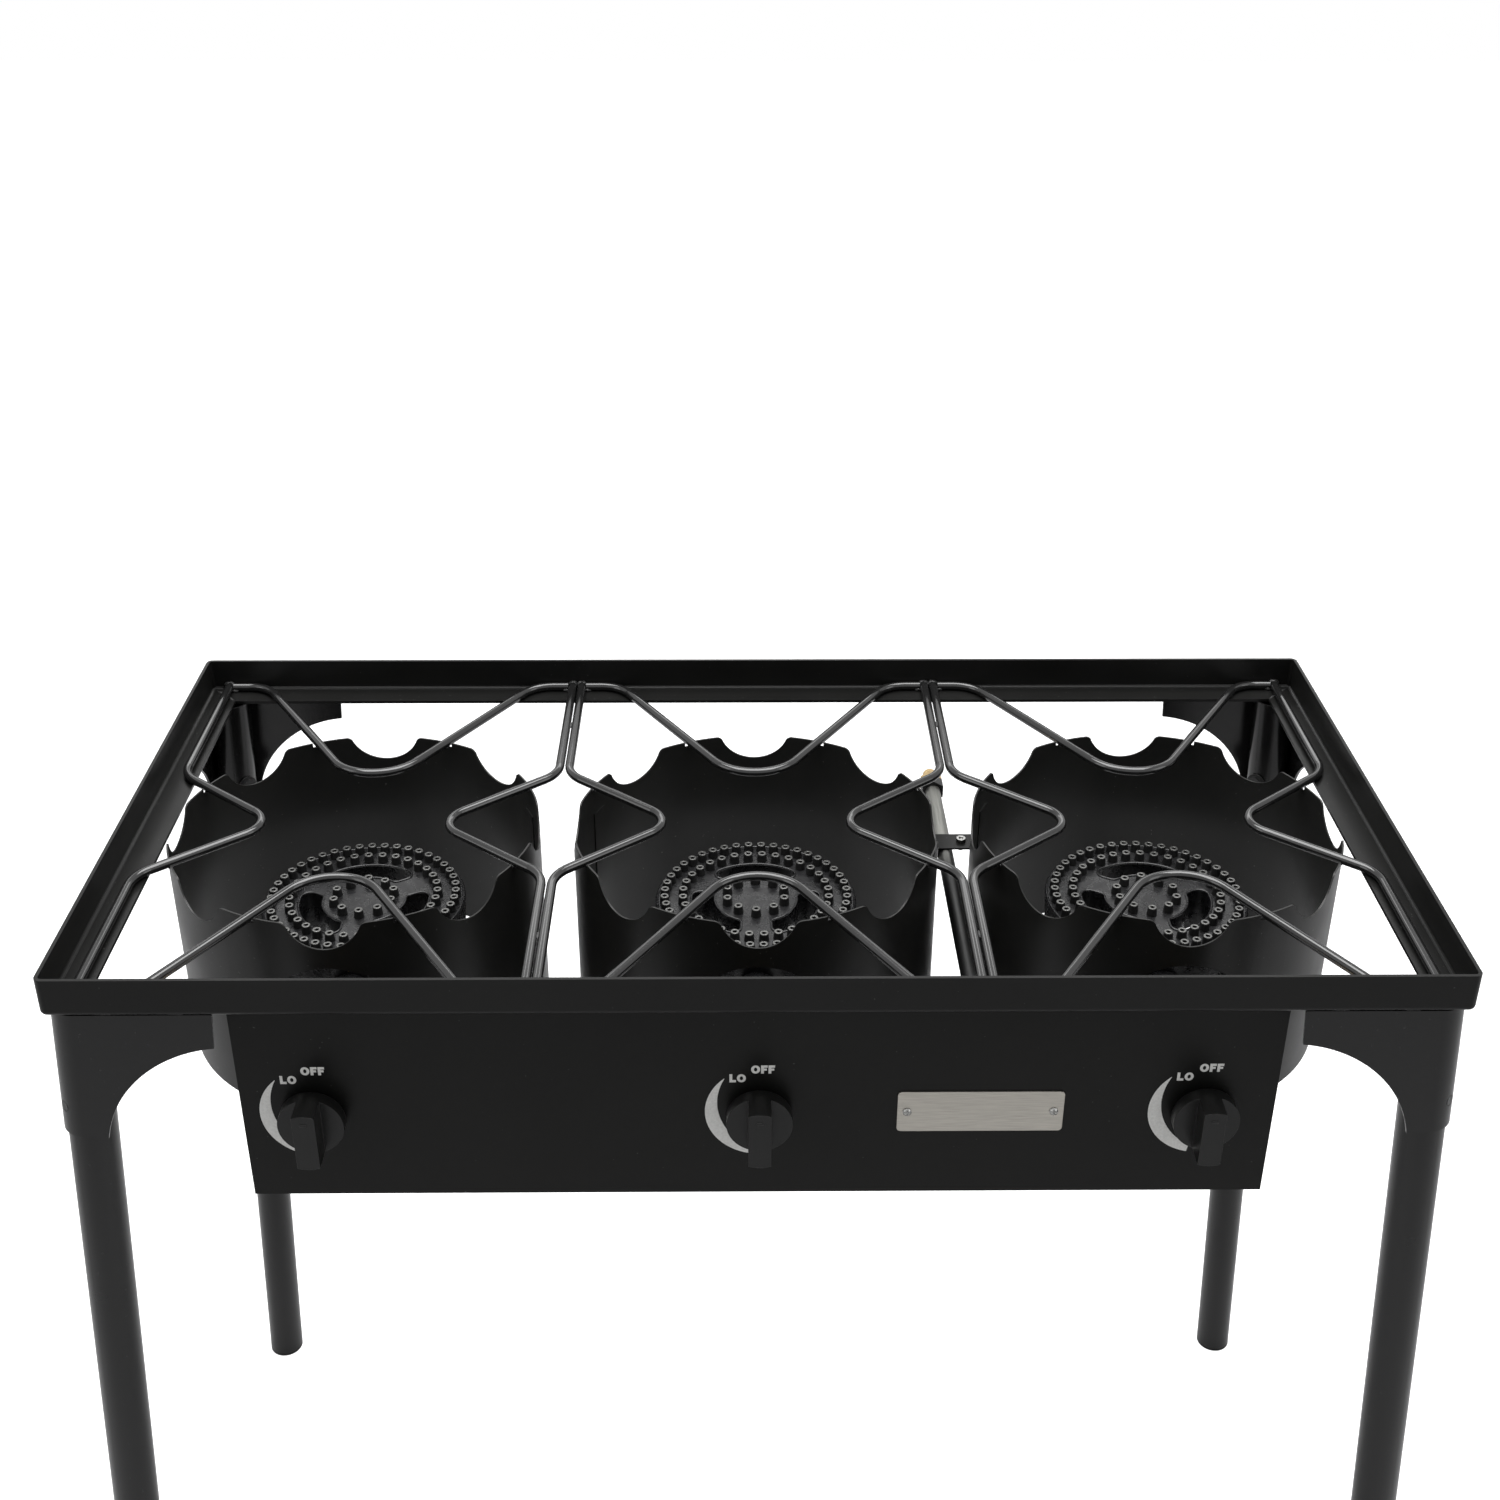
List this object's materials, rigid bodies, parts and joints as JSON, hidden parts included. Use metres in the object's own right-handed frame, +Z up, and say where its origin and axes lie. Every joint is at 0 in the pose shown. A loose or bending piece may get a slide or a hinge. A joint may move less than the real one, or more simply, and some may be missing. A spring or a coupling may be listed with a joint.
{
  "type": "propane burner stand",
  "caption": "Outdoor propane cooking stand: angle-iron table with splayed legs, bent-wire grates, scalloped wind guards, cast ring burners, control panel and gas line.",
  "frame": {"origin": "centre of the floor under the stand", "axes": "+X right as seen from the control panel, +Y to the rear, +Z up"},
  "size_m": [1.0014, 0.5066, 0.8],
  "materials": {
    "frame_paint": "satin",
    "leg_paint": "satin",
    "panel_paint": "satin",
    "guard_paint": "satin",
    "wire_paint": "semi-gloss",
    "cast_iron": "semi-gloss",
    "nozzle_steel": "machined",
    "dark_steel": "satin",
    "pipe_steel": "satin",
    "zinc_steel": "satin",
    "brass": "satin",
    "knob_plastic": "satin",
    "plate_steel": "brushed",
    "foot_rubber": "matte"
  },
  "bodies": {
    "stand": {"front_rail": "frame_paint", "rear_rail": "frame_paint", "left_rail": "frame_paint", "right_rail": "frame_paint", "front_left_bracket": "leg_paint", "front_right_bracket": "leg_paint", "rear_left_bracket": "leg_paint", "rear_right_bracket": "leg_paint", "front_left_leg": "leg_paint", "front_right_leg": "leg_paint", "rear_left_leg": "leg_paint", "rear_right_leg": "leg_paint", "foot_caps": "foot_rubber", "leg_bolts": "dark_steel", "left_grate_left_wire": "wire_paint", "left_grate_right_wire": "wire_paint", "left_grate_front_wire": "wire_paint", "left_grate_rear_wire": "wire_paint", "middle_grate_left_wire": "wire_paint", "middle_grate_right_wire": "wire_paint", "middle_grate_front_wire": "wire_paint", "middle_grate_rear_wire": "wire_paint", "right_grate_left_wire": "wire_paint", "right_grate_right_wire": "wire_paint", "right_grate_front_wire": "wire_paint", "right_grate_rear_wire": "wire_paint", "left_wind_guard": "guard_paint", "middle_wind_guard": "guard_paint", "right_wind_guard": "guard_paint", "left_burner": "cast_iron", "middle_burner": "cast_iron", "right_burner": "cast_iron", "left_nozzles": "nozzle_steel", "middle_nozzles": "nozzle_steel", "right_nozzles": "nozzle_steel", "burner_straps": "frame_paint", "burner_bolts": "zinc_steel", "burner_nuts": "zinc_steel", "manifold": "frame_paint", "valve_bodies": "brass", "valve_nuts": "zinc_steel", "jets": "brass", "supply_pipe": "pipe_steel", "pipe_nut": "dark_steel", "inlet_fitting": "brass", "pipe_clip": "frame_paint", "control_panel": "panel_paint", "pan_head_screws": "zinc_steel", "clip_screw": "zinc_steel", "name_plate": "plate_steel", "plate_screws": "zinc_steel"},
    "left_control": {"left_knob": "knob_plastic", "left_valve_stem": "brass"},
    "middle_control": {"middle_knob": "knob_plastic", "middle_valve_stem": "brass"},
    "right_control": {"right_knob": "knob_plastic", "right_valve_stem": "brass"},
    "left_shutter": {"left_air_shutter": "zinc_steel"},
    "middle_shutter": {"middle_air_shutter": "zinc_steel"},
    "right_shutter": {"right_air_shutter": "zinc_steel"}
  },
  "joints": [
    {"name": "left_knob_turn", "type": "hinge", "parent": "stand", "child": "left_control", "pos_m": [-0.296, -0.22, 0.68], "axis": [0, -1, 0], "range_deg": [0, 215]},
    {"name": "middle_knob_turn", "type": "hinge", "parent": "stand", "child": "middle_control", "pos_m": [0, -0.22, 0.68], "axis": [0, -1, 0], "range_deg": [0, 215]},
    {"name": "right_knob_turn", "type": "hinge", "parent": "stand", "child": "right_control", "pos_m": [0.296, -0.22, 0.68], "axis": [0, -1, 0], "range_deg": [0, 215]},
    {"name": "left_shutter_turn", "type": "hinge", "parent": "stand", "child": "left_shutter", "pos_m": [-0.296, -0.151, 0.68], "axis": [0, 1, 0], "range_deg": [0, 60]},
    {"name": "middle_shutter_turn", "type": "hinge", "parent": "stand", "child": "middle_shutter", "pos_m": [0, -0.151, 0.68], "axis": [0, 1, 0], "range_deg": [0, 60]},
    {"name": "right_shutter_turn", "type": "hinge", "parent": "stand", "child": "right_shutter", "pos_m": [0.296, -0.151, 0.68], "axis": [0, 1, 0], "range_deg": [0, 60]}
  ]
}
